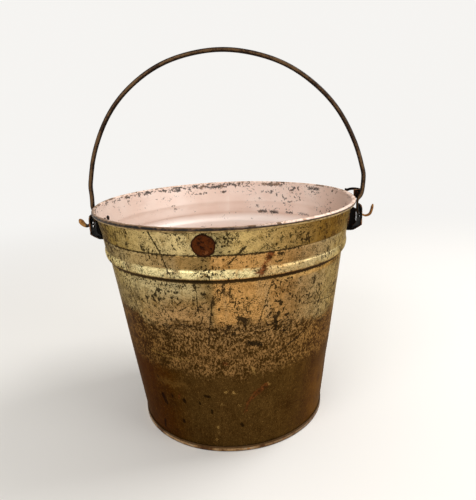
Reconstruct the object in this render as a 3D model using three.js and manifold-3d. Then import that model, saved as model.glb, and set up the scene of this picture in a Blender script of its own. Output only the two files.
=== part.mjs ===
// Ten-quart sheet-metal pail with a wire bail: a rolled and beaded wall curled over a rim wire,
// a double-seamed bottom, two folded strap ears, a round patch on the front of the rim band and
// a small strap soldered to the rim behind the right ear, which the bail leans on.
// Millimetres. Z is up, the pail stands on z = 0, and the bail turns about an axis along X.
import * as THREE from 'three';
import { mergeVertices } from 'three/addons/utils/BufferGeometryUtils.js';
import Module from 'manifold-3d';

const wasm = await Module();
wasm.setup();

// Clearance that neighbouring pieces keep, and the sheet that the pail is made of
const CLEARANCE = 0.3;
const SHEET = 0.6;
const ROUND_SEGMENTS = 60;

// Hem and bottom
const HEM_RADIUS = 100.2;
const HEM_HEIGHT = 5.3;
const HEM_CHAMFER = 0.4;
const BOTTOM_HEIGHT = 4.4;

// Wall: the rim's curl at its top, and how far its beaded features lie below it and inside the plain cone
const RIM_CENTRE_HEIGHT = 229.4;
const RIM_CENTRE_RADIUS = 131.6;
const CURL_RADIUS = 2.2;
const CURL_END_DEGREES = -115;
const LEDGE_BELOW_RIM = 46.8;
const LEDGE_RISE = 2.0;
const LEDGE_INSET = 2.5;
const BEAD_HALF_HEIGHT = 4.2;
const BEAD_DEPTH = 1.2;
const BEAD_INSET = 0.4;
const CREASE_ABOVE_LEDGE = 23.8;
const CREASE_HALF_WIDTH = 1.0;
const CREASE_DEPTH = 0.6;
const CREASE_INSET = 1.0;

// Side seam, folded flat on the back of the wall
const SEAM_WIDTH = 7;
const SEAM_RAISE = 0.6;

// Folded strap ears, which fill the band from just above the bead to just below the curl
const EAR_WIDTH = 22;
const EAR_BELOW_RIM = 8.9;
const EAR_THICKNESS = 1.4;
const EAR_OVER_BEAD = 1.0;
const EAR_TOP_CORNER = 7;
const EAR_BOTTOM_CORNER = 8;
const EAR_PAST_RIM = 7.8;
const EAR_FOLD = 2.7;
const EAR_TOE_INSET = 5;
const EAR_TOE_RISE = 6.3;
const EAR_CORE_WIDTH = 5;
const EAR_CORE_SLOPE = 4.5;
const EYE_RADIUS = 3.2;
const EYE_BELOW_TOP = 11;

// Ear rivets
const RIVET_RADIUS = 1.5;
const RIVET_HEAD_RADIUS = 2.9;
const RIVET_HEAD_HEIGHT = 1.5;
const RIVET_TAIL_HEIGHT = 1.0;
const RIVET_SPREAD = 6;
const RIVET_BELOW_TOP = 6;

// Bail: round wire with ends hammered flat and curled outward through the ears
const BAIL_WIRE = 4.4;
const BAIL_LEAN_DEGREES = 3;
const ARCH_PAST_RIM = 26.1;
const ARCH_OVAL = 11.3;
const ARCH_FLATNESS = 1.4;
const ARCH_SHIFT = 2.2;
const ARCH_SKEW = 1.1;
const ARCH_END_DEGREES = 79;
const LEG_OUTSET = 0.9;
const LEG_PAST_EAR = 3.6;
const BLADE_OVERLAP = 4;
const HOOK_WIDTH = 5.0;
const HOOK_THICKNESS = 2.0;
const HOOK_REACH = 13.4;
const RIGHT_HOOK_RISE = 10.6;
const LEFT_HOOK_RISE = 6.4;

// Round patch
const PATCH_RADIUS = 9.2;
const PATCH_ABOVE_CREASE = 8.1;
const PATCH_EDGE = 1.0;
const PATCH_CROWN = 1.7;
const PATCH_AZIMUTH_DEGREES = -95.3;

// Strap on the rim behind the right ear
const STRAP_THICKNESS = 1.2;
const STRAP_BAND = 9.5;
const STRAP_BELOW_RIM = 3.6;
const STRAP_REACH = 8.2;
const STRAP_BEND = 3.5;
const STRAP_FAR_AZIMUTH_DEGREES = 11.5;
const STRAP_FOOT_DEGREES = 4;

const radians = THREE.MathUtils.degToRad;
const point = (x, y) => new THREE.Vector2(x, y);

// The plain cone that the wall's features are measured from, foot to rim
const wallFootRadius = HEM_RADIUS - 2 * SHEET - CLEARANCE;
const wallFootHeight = SHEET + CLEARANCE;
const rimFaceRadius = RIM_CENTRE_RADIUS - CURL_RADIUS + SHEET;

function coneRadius(z) {
  return THREE.MathUtils.mapLinear(z, wallFootHeight, RIM_CENTRE_HEIGHT, wallFootRadius, rimFaceRadius);
}

const ledgeHeight = RIM_CENTRE_HEIGHT - LEDGE_BELOW_RIM;
const ledgeRadius = coneRadius(ledgeHeight) - LEDGE_INSET;
const beadFloor = ledgeHeight + LEDGE_RISE;
const beadCeiling = beadFloor + 2 * BEAD_HALF_HEIGHT;
const beadFootRadius = coneRadius(beadFloor) - BEAD_INSET;
const creaseHeight = ledgeHeight + CREASE_ABOVE_LEDGE;
const creaseFloor = creaseHeight - CREASE_HALF_WIDTH;
const creaseCeiling = creaseHeight + CREASE_HALF_WIDTH;
const creaseRadius = coneRadius(creaseHeight) - CREASE_INSET;

// Outer face between the bead and the crease, and from the crease up to the rim
function lowerBandRadius(z) {
  return THREE.MathUtils.mapLinear(z, beadFloor, creaseFloor, beadFootRadius, creaseRadius);
}

function bandRadius(z) {
  return THREE.MathUtils.mapLinear(z, creaseCeiling, RIM_CENTRE_HEIGHT, creaseRadius, rimFaceRadius);
}

// Heights and reaches that the fittings share
const rimEdgeRadius = RIM_CENTRE_RADIUS + CURL_RADIUS;
const earBottom = beadCeiling + EAR_OVER_BEAD;
const earTop = RIM_CENTRE_HEIGHT - EAR_BELOW_RIM;
const earStandoff = rimEdgeRadius + EAR_PAST_RIM;
const pivotHeight = earTop - EYE_BELOW_TOP;
const hookLine = earStandoff - EAR_THICKNESS - 2 * CLEARANCE - HOOK_THICKNESS / 2;
const rivetHeight = earTop - RIVET_BELOW_TOP;
const patchHeight = creaseHeight + PATCH_ABOVE_CREASE;
const archRadius = RIM_CENTRE_RADIUS + ARCH_PAST_RIM;

// Turns a mesh right side out if its signed volume is negative
function faceOut(geometry) {
  const position = geometry.getAttribute('position');
  const index = geometry.getIndex().array;
  const a = new THREE.Vector3();
  const b = new THREE.Vector3();
  const c = new THREE.Vector3();
  let volume = 0;
  for (let i = 0; i < index.length; i += 3) {
    a.fromBufferAttribute(position, index[i]);
    b.fromBufferAttribute(position, index[i + 1]);
    c.fromBufferAttribute(position, index[i + 2]);
    volume += a.dot(b.cross(c));
  }
  if (volume < 0) {
    for (let i = 0; i < index.length; i += 3) {
      [index[i], index[i + 1]] = [index[i + 1], index[i]];
    }
  }
  return geometry;
}

// Merges the shared corners of a closed three.js geometry and drops triangles that shrank to a line
function weld(source) {
  const bare = source.clone();
  bare.deleteAttribute('normal');
  bare.deleteAttribute('uv');
  const merged = mergeVertices(bare, 1e-3);
  const old = merged.getIndex().array;
  const kept = [];
  for (let i = 0; i < old.length; i += 3) {
    const [a, b, c] = [old[i], old[i + 1], old[i + 2]];
    if (a !== b && b !== c && c !== a) {
      kept.push(a, b, c);
    }
  }
  merged.setIndex(kept);
  return faceOut(merged);
}

function solid(geometry) {
  const welded = weld(geometry);
  return new wasm.Manifold(new wasm.Mesh({
    numProp: 3,
    vertProperties: new Float32Array(welded.getAttribute('position').array),
    triVerts: new Uint32Array(welded.getIndex().array),
  }));
}

function geometryOf(manifold) {
  const mesh = manifold.getMesh();
  const geometry = new THREE.BufferGeometry();
  geometry.setAttribute('position', new THREE.BufferAttribute(new Float32Array(mesh.vertProperties), 3));
  geometry.setIndex(new THREE.BufferAttribute(new Uint32Array(mesh.triVerts), 1));
  return geometry;
}

// Turns a closed outline of (radius, height) points about the Z axis
function turned(outline, segments = ROUND_SEGMENTS) {
  return new THREE.LatheGeometry(outline, segments).rotateX(Math.PI / 2);
}

// Points on an arc about (x, y), from one angle to another in degrees
function arc(x, y, radius, from, to, steps) {
  return Array.from({ length: steps + 1 }, (_, i) => {
    const angle = radians(THREE.MathUtils.lerp(from, to, i / steps));
    return point(x + radius * Math.cos(angle), y + radius * Math.sin(angle));
  });
}

// The polyline moved sideways by a distance, to the left of its direction
function beside(points, distance) {
  return points.map((p, i) => {
    const before = points[Math.max(i - 1, 0)];
    const after = points[Math.min(i + 1, points.length - 1)];
    const inward = p.clone().sub(before).normalize();
    const outward = after.clone().sub(p).normalize();
    const along = inward.add(outward).normalize();
    return point(p.x - along.y * distance, p.y + along.x * distance);
  });
}

// A strip of even thickness along a centreline of points, as a closed outline
function stripShape(centreline, thickness) {
  const left = beside(centreline, thickness / 2);
  const right = beside(centreline, -thickness / 2);
  return new THREE.Shape([...left, ...right.reverse()]);
}

// An outline drawn in X and Z, carried along Y and centred on it
function extrudedAlongY(shape, depth) {
  const geometry = new THREE.ExtrudeGeometry(shape, { depth, bevelEnabled: false });
  return geometry.translate(0, 0, -depth / 2).rotateX(Math.PI / 2);
}

// An outline drawn in Y and Z, carried along X between two places
function extrudedAlongX(shape, from, to) {
  const geometry = new THREE.ExtrudeGeometry(shape, { depth: to - from, bevelEnabled: false });
  return geometry.translate(0, 0, from).applyMatrix4(new THREE.Matrix4().makeBasis(
    new THREE.Vector3(0, 1, 0),
    new THREE.Vector3(0, 0, 1),
    new THREE.Vector3(1, 0, 0),
  ));
}

function namedMesh(name, geometry, color, roughness, metalness) {
  const material = new THREE.MeshStandardMaterial({ color, roughness, metalness });
  const flat = geometry.index ? geometry.toNonIndexed() : geometry;
  flat.computeVertexNormals();
  const mesh = new THREE.Mesh(weld(flat), material);
  mesh.name = name;
  return mesh;
}

// The wall's outer face from its foot to the start of the curl
function wallFace() {
  const footTop = HEM_HEIGHT + wallFootHeight;
  const bead = Array.from({ length: 7 }, (_, i) => {
    const swing = radians(THREE.MathUtils.lerp(-90, 90, i / 6));
    const z = beadFloor + BEAD_HALF_HEIGHT * (1 + Math.sin(swing));
    return point(lowerBandRadius(z) + BEAD_DEPTH * Math.cos(swing), z);
  });
  return [
    point(wallFootRadius, wallFootHeight),
    point(THREE.MathUtils.mapLinear(footTop, 0, ledgeHeight, wallFootRadius, ledgeRadius), footTop),
    point(ledgeRadius, ledgeHeight),
    point((ledgeRadius + beadFootRadius) / 2, ledgeHeight + LEDGE_RISE * 0.7),
    ...bead,
    point(creaseRadius, creaseFloor),
    point(creaseRadius - CREASE_DEPTH, creaseHeight),
    point(creaseRadius, creaseCeiling),
    point(bandRadius(RIM_CENTRE_HEIGHT - CURL_RADIUS), RIM_CENTRE_HEIGHT - CURL_RADIUS),
  ];
}

// The sheet's section: outer face up, round the inside of the curl, back round its outside, inner face down
function wallSection(face) {
  const curlBore = arc(RIM_CENTRE_RADIUS, RIM_CENTRE_HEIGHT, CURL_RADIUS - SHEET, 180, CURL_END_DEGREES, 8);
  const curlBack = arc(RIM_CENTRE_RADIUS, RIM_CENTRE_HEIGHT, CURL_RADIUS, CURL_END_DEGREES, 180, 9);
  const inside = beside(face, SHEET);
  inside[0].y = wallFootHeight;
  const section = [...face, ...curlBore, ...curlBack, ...inside.reverse()];
  return [...section, section[0].clone()];
}

// The ear's inner leaf is flat, and clears the wall at its foot and its top
const leafFoot = point(lowerBandRadius(earBottom) + CLEARANCE, earBottom);
const leafHead = point(bandRadius(earTop) + CLEARANCE, earTop);
const leafLean = (leafHead.x - leafFoot.x) / (leafHead.y - leafFoot.y);
const leafTilt = Math.atan(leafLean);

// Inner face of the leaf that lies on the wall, at a height
function leafRadius(z) {
  return leafFoot.x + leafLean * (z - leafFoot.y);
}

// Frame at the rivet: local Z points out of the wall
function rivetFrame(side, y) {
  const x = leafRadius(rivetHeight);
  const direction = new THREE.Vector3(Math.cos(leafTilt), 0, -Math.sin(leafTilt));
  const turn = new THREE.Quaternion().setFromUnitVectors(new THREE.Vector3(0, 0, 1), direction);
  const frame = new THREE.Matrix4().makeRotationFromQuaternion(turn).setPosition(x, y, rivetHeight);
  return side > 0 ? frame : new THREE.Matrix4().makeRotationZ(Math.PI).multiply(frame);
}

const rivetPlaces = [
  { name: 'right_ear_rivet_front', side: 1, y: -RIVET_SPREAD },
  { name: 'right_ear_rivet_back', side: 1, y: RIVET_SPREAD },
  { name: 'left_ear_rivet_front', side: -1, y: RIVET_SPREAD },
  { name: 'left_ear_rivet_back', side: -1, y: -RIVET_SPREAD },
];

function rivetHole(side, y) {
  const bore = RIVET_RADIUS + CLEARANCE;
  const through = 4 * (SHEET + CLEARANCE + EAR_THICKNESS);
  const hole = new THREE.CylinderGeometry(bore, bore, through, 12);
  return solid(hole.rotateX(Math.PI / 2).applyMatrix4(rivetFrame(side, y)));
}

// Rolled wall with its side seam and rivet holes
function makeWall() {
  const face = wallFace();
  const seamFace = face.slice(1, -1);
  const core = beside(seamFace, SHEET / 2);
  const proud = beside(seamFace, -SEAM_RAISE);
  const seamRing = turned([...core, ...proud.reverse(), core[0].clone()]);
  const slab = new THREE.BoxGeometry(SEAM_WIDTH, 2 * rimEdgeRadius, 2 * RIM_CENTRE_HEIGHT);
  slab.translate(0, rimEdgeRadius, 0);
  const seam = solid(seamRing).intersect(solid(slab));
  let wall = solid(turned(wallSection(face))).add(seam);
  for (const { side, y } of rivetPlaces) {
    wall = wall.subtract(rivetHole(side, y));
  }
  return geometryOf(wall);
}

// Flat bottom whose edge drops to the floor, folds out under the wall and up round it as the hem
function makeBottom() {
  const grooveIn = wallFootRadius - SHEET - CLEARANCE;
  const grooveOut = wallFootRadius + CLEARANCE;
  const lean = (ledgeRadius - wallFootRadius) / ledgeHeight * HEM_HEIGHT;
  return turned([
    point(0, BOTTOM_HEIGHT),
    point(grooveIn - SHEET, BOTTOM_HEIGHT),
    point(grooveIn - SHEET, HEM_CHAMFER),
    point(grooveIn - SHEET + HEM_CHAMFER, 0),
    point(HEM_RADIUS - HEM_CHAMFER, 0),
    point(HEM_RADIUS, HEM_CHAMFER),
    point(HEM_RADIUS, HEM_HEIGHT - HEM_CHAMFER),
    point(HEM_RADIUS - HEM_CHAMFER / 2, HEM_HEIGHT),
    point(grooveOut + lean, HEM_HEIGHT),
    point(grooveOut, SHEET),
    point(grooveIn, SHEET),
    point(grooveIn, BOTTOM_HEIGHT + SHEET),
    point(0, BOTTOM_HEIGHT + SHEET),
  ]);
}

function makeRimWire() {
  const radius = CURL_RADIUS - SHEET - CLEARANCE;
  return turned(arc(RIM_CENTRE_RADIUS, RIM_CENTRE_HEIGHT, radius, 0, 360, 10));
}

// Centreline of the folded strap: down the wall, out across the pocket's floor and up past the eye
function earCentreline() {
  const half = EAR_THICKNESS / 2;
  const outer = earStandoff - half;
  const toe = outer - EAR_TOE_INSET;
  const floor = earBottom + half;
  const shoulder = floor + EAR_TOE_RISE;
  const path = new THREE.Path();
  path.moveTo(leafRadius(earTop) + half, earTop);
  path.lineTo(leafRadius(floor + EAR_FOLD) + half, floor + EAR_FOLD);
  path.quadraticCurveTo(leafRadius(floor) + half, floor, leafRadius(floor) + half + EAR_FOLD, floor);
  path.lineTo(toe - EAR_FOLD, floor);
  path.quadraticCurveTo(toe, floor, toe + EAR_FOLD, floor + EAR_FOLD);
  path.quadraticCurveTo(outer, shoulder - EAR_FOLD, outer, shoulder);
  path.lineTo(outer, earTop);
  return path.getPoints(5);
}

// Front outline of an ear, seen along X, with rounded corners
function earFront() {
  const half = EAR_WIDTH / 2;
  const low = earBottom - CLEARANCE;
  return new THREE.Shape()
    .moveTo(-half, low + EAR_BOTTOM_CORNER)
    .quadraticCurveTo(-half, low, -half + EAR_BOTTOM_CORNER, low)
    .lineTo(half - EAR_BOTTOM_CORNER, low)
    .quadraticCurveTo(half, low, half, low + EAR_BOTTOM_CORNER)
    .lineTo(half, earTop - EAR_TOP_CORNER)
    .quadraticCurveTo(half, earTop, half - EAR_TOP_CORNER, earTop)
    .lineTo(-half + EAR_TOP_CORNER, earTop)
    .quadraticCurveTo(-half, earTop, -half, earTop - EAR_TOP_CORNER);
}

// Core between the leaves, narrower than the rivets' spacing: its top slopes down to just inside the blade
function earCore() {
  const reach = hookLine - HOOK_THICKNESS / 2 - 2 * CLEARANCE;
  const floor = earBottom + EAR_THICKNESS / 2;
  const shape = new THREE.Shape()
    .moveTo(leafRadius(floor) + EAR_THICKNESS / 2, floor)
    .lineTo(earStandoff - EAR_TOE_INSET - EAR_FOLD, floor)
    .lineTo(reach, floor + EAR_TOE_RISE)
    .lineTo(reach, earTop - EAR_CORE_SLOPE)
    .lineTo(leafRadius(earTop) + EAR_THICKNESS / 2, earTop)
    .closePath();
  return solid(extrudedAlongY(shape, EAR_CORE_WIDTH));
}

function makeEar(side) {
  const strip = solid(extrudedAlongY(stripShape(earCentreline(), EAR_THICKNESS), EAR_WIDTH));
  const front = solid(extrudedAlongX(earFront(), 0, 2 * earStandoff));
  const eye = new THREE.CylinderGeometry(EYE_RADIUS, EYE_RADIUS, 4 * EAR_THICKNESS, 20);
  eye.rotateZ(Math.PI / 2).translate(earStandoff, 0, pivotHeight);
  let ear = strip.add(earCore()).intersect(front).subtract(solid(eye));
  ear = ear.subtract(rivetHole(1, -RIVET_SPREAD)).subtract(rivetHole(1, RIVET_SPREAD));
  const geometry = geometryOf(ear);
  return side > 0 ? geometry : geometry.rotateZ(Math.PI);
}

// Rivet along local Z: tail head inside the wall, shank through wall and leaf, domed head outside
function makeRivet() {
  const outside = EAR_THICKNESS + CLEARANCE;
  const wallGap = leafRadius(rivetHeight) - bandRadius(rivetHeight);
  const inside = -wallGap - SHEET - 2 * CLEARANCE;
  return turned([
    point(0, inside - RIVET_TAIL_HEIGHT),
    point(RIVET_HEAD_RADIUS * 0.75, inside - RIVET_TAIL_HEIGHT),
    point(RIVET_HEAD_RADIUS * 0.95, inside),
    point(RIVET_RADIUS, inside),
    point(RIVET_RADIUS, outside),
    point(RIVET_HEAD_RADIUS, outside),
    point(RIVET_HEAD_RADIUS * 0.92, outside + RIVET_HEAD_HEIGHT * 0.4),
    point(RIVET_HEAD_RADIUS * 0.6, outside + RIVET_HEAD_HEIGHT * 0.85),
    point(0, outside + RIVET_HEAD_HEIGHT),
  ], 16);
}

// Arch of the bail in its own plane: distance from the pivot line's middle at an angle from the top
function archPoint(degrees) {
  const angle = radians(degrees);
  const reach = archRadius + ARCH_OVAL * Math.cos(2 * angle) - ARCH_FLATNESS * Math.cos(4 * angle)
    + ARCH_SHIFT * Math.sin(angle) - ARCH_SKEW * Math.sin(3 * angle);
  return new THREE.Vector3(reach * Math.sin(angle), 0, reach * Math.cos(angle));
}

// Height above the pivot where the bail's end turns from round to flat
const legFoot = EAR_WIDTH / 2 + LEG_PAST_EAR;

function makeBailWire() {
  const steps = 40;
  const spots = Array.from({ length: steps + 1 }, (_, i) => (
    archPoint(THREE.MathUtils.lerp(-ARCH_END_DEGREES, ARCH_END_DEGREES, i / steps))
  ));
  const start = new THREE.Vector3(-hookLine - LEG_OUTSET, 0, legFoot);
  const end = new THREE.Vector3(hookLine + LEG_OUTSET, 0, legFoot);
  const curve = new THREE.CatmullRomCurve3([start, ...spots, end]);
  const section = new THREE.Shape(arc(0, 0, BAIL_WIRE / 2, 0, 360, 10).slice(0, -1));
  return new THREE.ExtrudeGeometry(section, { steps: 72, extrudePath: curve });
}

// Flattened end: inside the ear, out through the eye along the pivot line, and curled up outside
function makeHook(side, curl) {
  const spots = [
    [hookLine + 1.6, legFoot + BLADE_OVERLAP],
    [hookLine + 0.7, legFoot + BLADE_OVERLAP / 4],
    [hookLine, legFoot - BLADE_OVERLAP * 0.75],
    [hookLine, 1.8 * HOOK_THICKNESS],
    [hookLine + 0.9, 0.9],
    [earStandoff - EAR_THICKNESS / 2, 0],
    [earStandoff + HOOK_THICKNESS, -0.3],
    ...curl,
  ];
  const curve = new THREE.CatmullRomCurve3(spots.map(([x, z]) => new THREE.Vector3(side * x, 0, z)));
  const wide = HOOK_WIDTH / 2;
  const thin = HOOK_THICKNESS / 2;
  const section = new THREE.Shape([
    point(-wide, -thin / 2),
    point(-wide + thin / 2, -thin),
    point(wide - thin / 2, -thin),
    point(wide, -thin / 2),
    point(wide, thin / 2),
    point(wide - thin / 2, thin),
    point(-wide + thin / 2, thin),
    point(-wide, thin / 2),
  ]);
  return new THREE.ExtrudeGeometry(section, { steps: 26, extrudePath: curve });
}

function makeBail() {
  const tip = earStandoff + HOOK_REACH;
  const rightCurl = [
    [tip - 0.54 * HOOK_REACH, -1.6],
    [tip - 0.2 * HOOK_REACH, 0.9],
    [tip, RIGHT_HOOK_RISE],
  ];
  const leftCurl = [
    [tip - 0.56 * HOOK_REACH, -1.4],
    [tip - 0.28 * HOOK_REACH, 0.8],
    [tip, LEFT_HOOK_RISE],
  ];
  const wire = solid(makeBailWire());
  const right = solid(makeHook(1, rightCurl));
  const left = solid(makeHook(-1, leftCurl));
  return geometryOf(wire.add(right).add(left));
}

// Slightly domed round patch, square to the rim band
function makePatch() {
  return turned([
    point(0, 0),
    point(PATCH_RADIUS, 0),
    point(PATCH_RADIUS, PATCH_EDGE * 0.7),
    point(PATCH_RADIUS - PATCH_EDGE * 0.4, PATCH_EDGE),
    point(PATCH_RADIUS * 0.55, PATCH_EDGE + (PATCH_CROWN - PATCH_EDGE) * 0.75),
    point(0, PATCH_CROWN),
  ], 32);
}

// Bent strap standing on edge against the rim: the bail leans on its near end, and its far foot
// lies along the curl
function makeStrap() {
  const rimOut = rimEdgeRadius + CLEARANCE + STRAP_THICKNESS / 2;
  const far = radians(STRAP_FAR_AZIMUTH_DEGREES);
  const bottom = RIM_CENTRE_HEIGHT - STRAP_BELOW_RIM;
  const lean = radians(BAIL_LEAN_DEGREES);
  const bailBack = (bottom + STRAP_BAND - pivotHeight) * Math.tan(lean) + BAIL_WIRE / 2 / Math.cos(lean);
  const nearY = bailBack + CLEARANCE + STRAP_THICKNESS / 2;
  const crest = rimOut + STRAP_REACH;
  const farFoot = point(rimOut * Math.cos(far), rimOut * Math.sin(far));
  const path = new THREE.Path();
  path.moveTo(rimOut + STRAP_THICKNESS / 2, nearY);
  path.lineTo(crest - STRAP_BEND, nearY);
  path.quadraticCurveTo(crest, nearY, crest, nearY + STRAP_BEND);
  path.quadraticCurveTo(crest, (nearY + farFoot.y) / 2, farFoot.x, farFoot.y);
  const footEnd = STRAP_FAR_AZIMUTH_DEGREES + STRAP_FOOT_DEGREES;
  const foot = arc(0, 0, rimOut, STRAP_FAR_AZIMUTH_DEGREES, footEnd, 3);
  const centreline = [...path.getPoints(5), ...foot.slice(1)];
  const shape = stripShape(centreline, STRAP_THICKNESS);
  const geometry = new THREE.ExtrudeGeometry(shape, { depth: STRAP_BAND, bevelEnabled: false });
  return geometry.translate(0, 0, bottom);
}

const pail = new THREE.Group();

pail.add(namedMesh('body_wall', makeWall(), 0xa88f52, 0.35, 0.8));
pail.add(namedMesh('bottom_pan', makeBottom(), 0x8f7c58, 0.5, 0.6));
pail.add(namedMesh('rim_wire', makeRimWire(), 0x4a3a30, 0.7, 0.6));
pail.add(namedMesh('right_ear', makeEar(1), 0x1d1815, 0.75, 0.4));
pail.add(namedMesh('left_ear', makeEar(-1), 0x1d1815, 0.75, 0.4));

for (const { name, side, y } of rivetPlaces) {
  const rivet = namedMesh(name, makeRivet(), 0x3a2c24, 0.7, 0.5);
  rivet.applyMatrix4(rivetFrame(side, y));
  pail.add(rivet);
}

const bailGroup = new THREE.Group();
bailGroup.position.z = pivotHeight;
bailGroup.rotation.x = -radians(BAIL_LEAN_DEGREES);
bailGroup.add(namedMesh('bail', makeBail(), 0x4b3626, 0.7, 0.5));
pail.add(bailGroup);

const patch = namedMesh('mending_disc', makePatch(), 0x5a2a1a, 0.85, 0.2);
const patchGroup = new THREE.Group();
patchGroup.rotation.z = radians(PATCH_AZIMUTH_DEGREES);
const bandTilt = Math.atan((rimFaceRadius - creaseRadius) / (RIM_CENTRE_HEIGHT - creaseCeiling));
patch.position.set(bandRadius(patchHeight) + CLEARANCE, 0, patchHeight);
patch.rotation.y = Math.PI / 2 + bandTilt;
patchGroup.add(patch);
pail.add(patchGroup);

pail.add(namedMesh('rim_strap', makeStrap(), 0x1b1714, 0.8, 0.4));

export default pail;
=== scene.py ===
"""A worn ten-quart pail: gold-lacquered sheet wall, pink paint inside, iron ears and a wire bail.

Metres, Z up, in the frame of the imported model. Shapes are written in millimetres, times MM, and
the heights and widths in the materials in metres. Azimuths are in degrees about Z: 0 is the right
ear, -90 the front and 90 the side seam. Colours are red, green and blue from 0 to 255.
"""

import bmesh
import bpy
import numpy as np
from mathutils import Matrix, Vector


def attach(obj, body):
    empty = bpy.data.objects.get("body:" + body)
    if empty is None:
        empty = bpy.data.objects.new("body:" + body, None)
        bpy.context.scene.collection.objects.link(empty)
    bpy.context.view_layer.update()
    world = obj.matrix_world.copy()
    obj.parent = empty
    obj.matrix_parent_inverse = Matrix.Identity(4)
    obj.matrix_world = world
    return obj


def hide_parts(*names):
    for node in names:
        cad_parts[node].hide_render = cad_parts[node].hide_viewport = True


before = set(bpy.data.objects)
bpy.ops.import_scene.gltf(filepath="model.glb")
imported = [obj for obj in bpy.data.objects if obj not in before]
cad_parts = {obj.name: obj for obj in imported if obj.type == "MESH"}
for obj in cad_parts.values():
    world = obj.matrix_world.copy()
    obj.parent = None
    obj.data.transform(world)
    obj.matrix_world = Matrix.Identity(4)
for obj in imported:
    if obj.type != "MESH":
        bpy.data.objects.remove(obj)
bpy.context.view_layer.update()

MM = 0.001


# Wall: one sheet of tinned iron, rolled into a cone and locked along a flat seam at the back.
# A bead, a sharp ledge and a thin crease are rolled into it, and its top is curled over a wire.
SHEET = 0.6
FOOT_RADIUS, FOOT_HEIGHT = 98.7, 0.9
LEDGE_RADIUS, LEDGE_HEIGHT = 121.1, 182.6
BEAD_FOOT_RADIUS, BEAD_FLOOR = 123.5, 184.6
BEAD_HALF_HEIGHT, BEAD_DEPTH = 4.2, 1.2
CREASE_RADIUS, CREASE_HEIGHT, CREASE_DEPTH = 125.8, 206.4, 0.6
CURL_CENTRE = (131.6, 229.4)
CURL_RADIUS, CURL_END = 2.2, -115
BORE_POINTS, CURL_POINTS, PAINTED_POINTS = 14, 26, 3
SEAM_HALF_WIDTH, SEAM_RAISE, SEAM_SLOPE, SEAM_AZIMUTH = 3.5, 0.6, 0.6, 90
SEAM_REACH, SEAM_STEP, COLUMN_STEP = 6, 0.5, 1.25
HEM_LINE, SEAM_TOP, BAND_TOP = 6, 225, 226
HEM_FADE, BAND_FADE, RIM_WAVE = 10, 12, 0.12
UNROLLED_RADIUS = 115.0
FRONT_AZIMUTH = -90

# Dents as (azimuth, height, half width, half height, depth), in degrees and millimetres
DENTS = [
    (-119, 176, 16, 7, 0.9), (-70, 172, 22, 8, 0.6),
    (-44, 144, 34, 5, 0.9), (-118, 103, 34, 4, 0.5),
    (-92, 150, 9, 30, -0.5), (-150, 128, 18, 26, 0.7),
    (18, 120, 26, 20, 1.1), (62, 72, 20, 16, 0.9),
    (128, 150, 28, 18, 1.3), (170, 88, 22, 24, 1.0),
    (-20, 60, 20, 15, 0.8),
]


def turn_from(middle, azimuth):
    """How far an azimuth is from a middle one, between -180 and 180 degrees."""
    return (azimuth - middle + 180) % 360 - 180


def evenly(corners, step):
    """Points along a polyline, straight between its corners, each stretch cut into steps."""
    corners = np.asarray(corners, float)
    runs = []
    for start, end in zip(corners[:-1], corners[1:]):
        count = max(1, int(np.ceil(np.linalg.norm(end - start) / step)))
        share = np.arange(count)[:, None] / count
        runs.append(start + share * (end - start))
    return np.vstack([*runs, corners[-1:]])


def eased(points, rounds):
    """Rounds the corners of a polyline: each point goes halfway to the middle of its neighbours."""
    points = points.copy()
    for _ in range(rounds):
        points[1:-1] = 0.5 * points[1:-1] + 0.25 * (points[:-2] + points[2:])
    return points


def beside(points, distance):
    """A polyline moved sideways, to the left of its direction, along its own normals."""
    along = np.gradient(points, axis=0)
    along /= np.linalg.norm(along, axis=1)[:, None]
    return points + distance * np.stack([-along[:, 1], along[:, 0]], 1)


def arc(centre, radius, first, last, count):
    """Points on a circle about a centre, from one angle to another in degrees."""
    angle = np.radians(np.linspace(first, last, count))
    return np.stack([centre[0] + radius * np.cos(angle), centre[1] + radius * np.sin(angle)], 1)


def bead_face(count):
    """Half an ellipse of the bead's depth, standing on the line from the ledge to the crease."""
    swing = np.linspace(-np.pi / 2, np.pi / 2, count)
    height = BEAD_FLOOR + BEAD_HALF_HEIGHT * (1 + np.sin(swing))
    share = (height - BEAD_FLOOR) / (CREASE_HEIGHT - 1 - BEAD_FLOOR)
    radius = BEAD_FOOT_RADIUS + share * (CREASE_RADIUS - BEAD_FOOT_RADIUS)
    return np.stack([radius + BEAD_DEPTH * np.cos(swing), height], 1)


def wall_section():
    """Closed section of the sheet as (radius, height): up the outside, round the curl, down the inside."""
    cone = evenly([(FOOT_RADIUS, FOOT_HEIGHT), (LEDGE_RADIUS - 0.25, LEDGE_HEIGHT - 2)], 5.0)
    step = evenly([(LEDGE_RADIUS - 0.2, LEDGE_HEIGHT - 1.4), (LEDGE_RADIUS, LEDGE_HEIGHT),
                   (BEAD_FOOT_RADIUS - 0.6, BEAD_FLOOR - 0.7)], 0.45)
    bead = bead_face(17)
    below = evenly([bead[-1] + (0.1, 0.8), (CREASE_RADIUS, CREASE_HEIGHT - 1.1)], 1.6)
    crease = [(CREASE_RADIUS - 0.3, CREASE_HEIGHT - 0.5), (CREASE_RADIUS - CREASE_DEPTH, CREASE_HEIGHT),
              (CREASE_RADIUS - 0.2, CREASE_HEIGHT + 0.5)]
    top = (CURL_CENTRE[0] - CURL_RADIUS + SHEET, CURL_CENTRE[1] - 1.8)
    above = evenly([(CREASE_RADIUS + 0.05, CREASE_HEIGHT + 1.1), top], 1.6)
    face = np.vstack([cone, eased(np.vstack([step, bead]), 1), below, crease, above])
    bore = arc(CURL_CENTRE, CURL_RADIUS - SHEET, 180, CURL_END, BORE_POINTS)
    back = arc(CURL_CENTRE, CURL_RADIUS, CURL_END, 180, CURL_POINTS)
    inside = eased(beside(face, SHEET), 5)[::-1]
    return np.vstack([face, bore, back, inside]), len(face)


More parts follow.
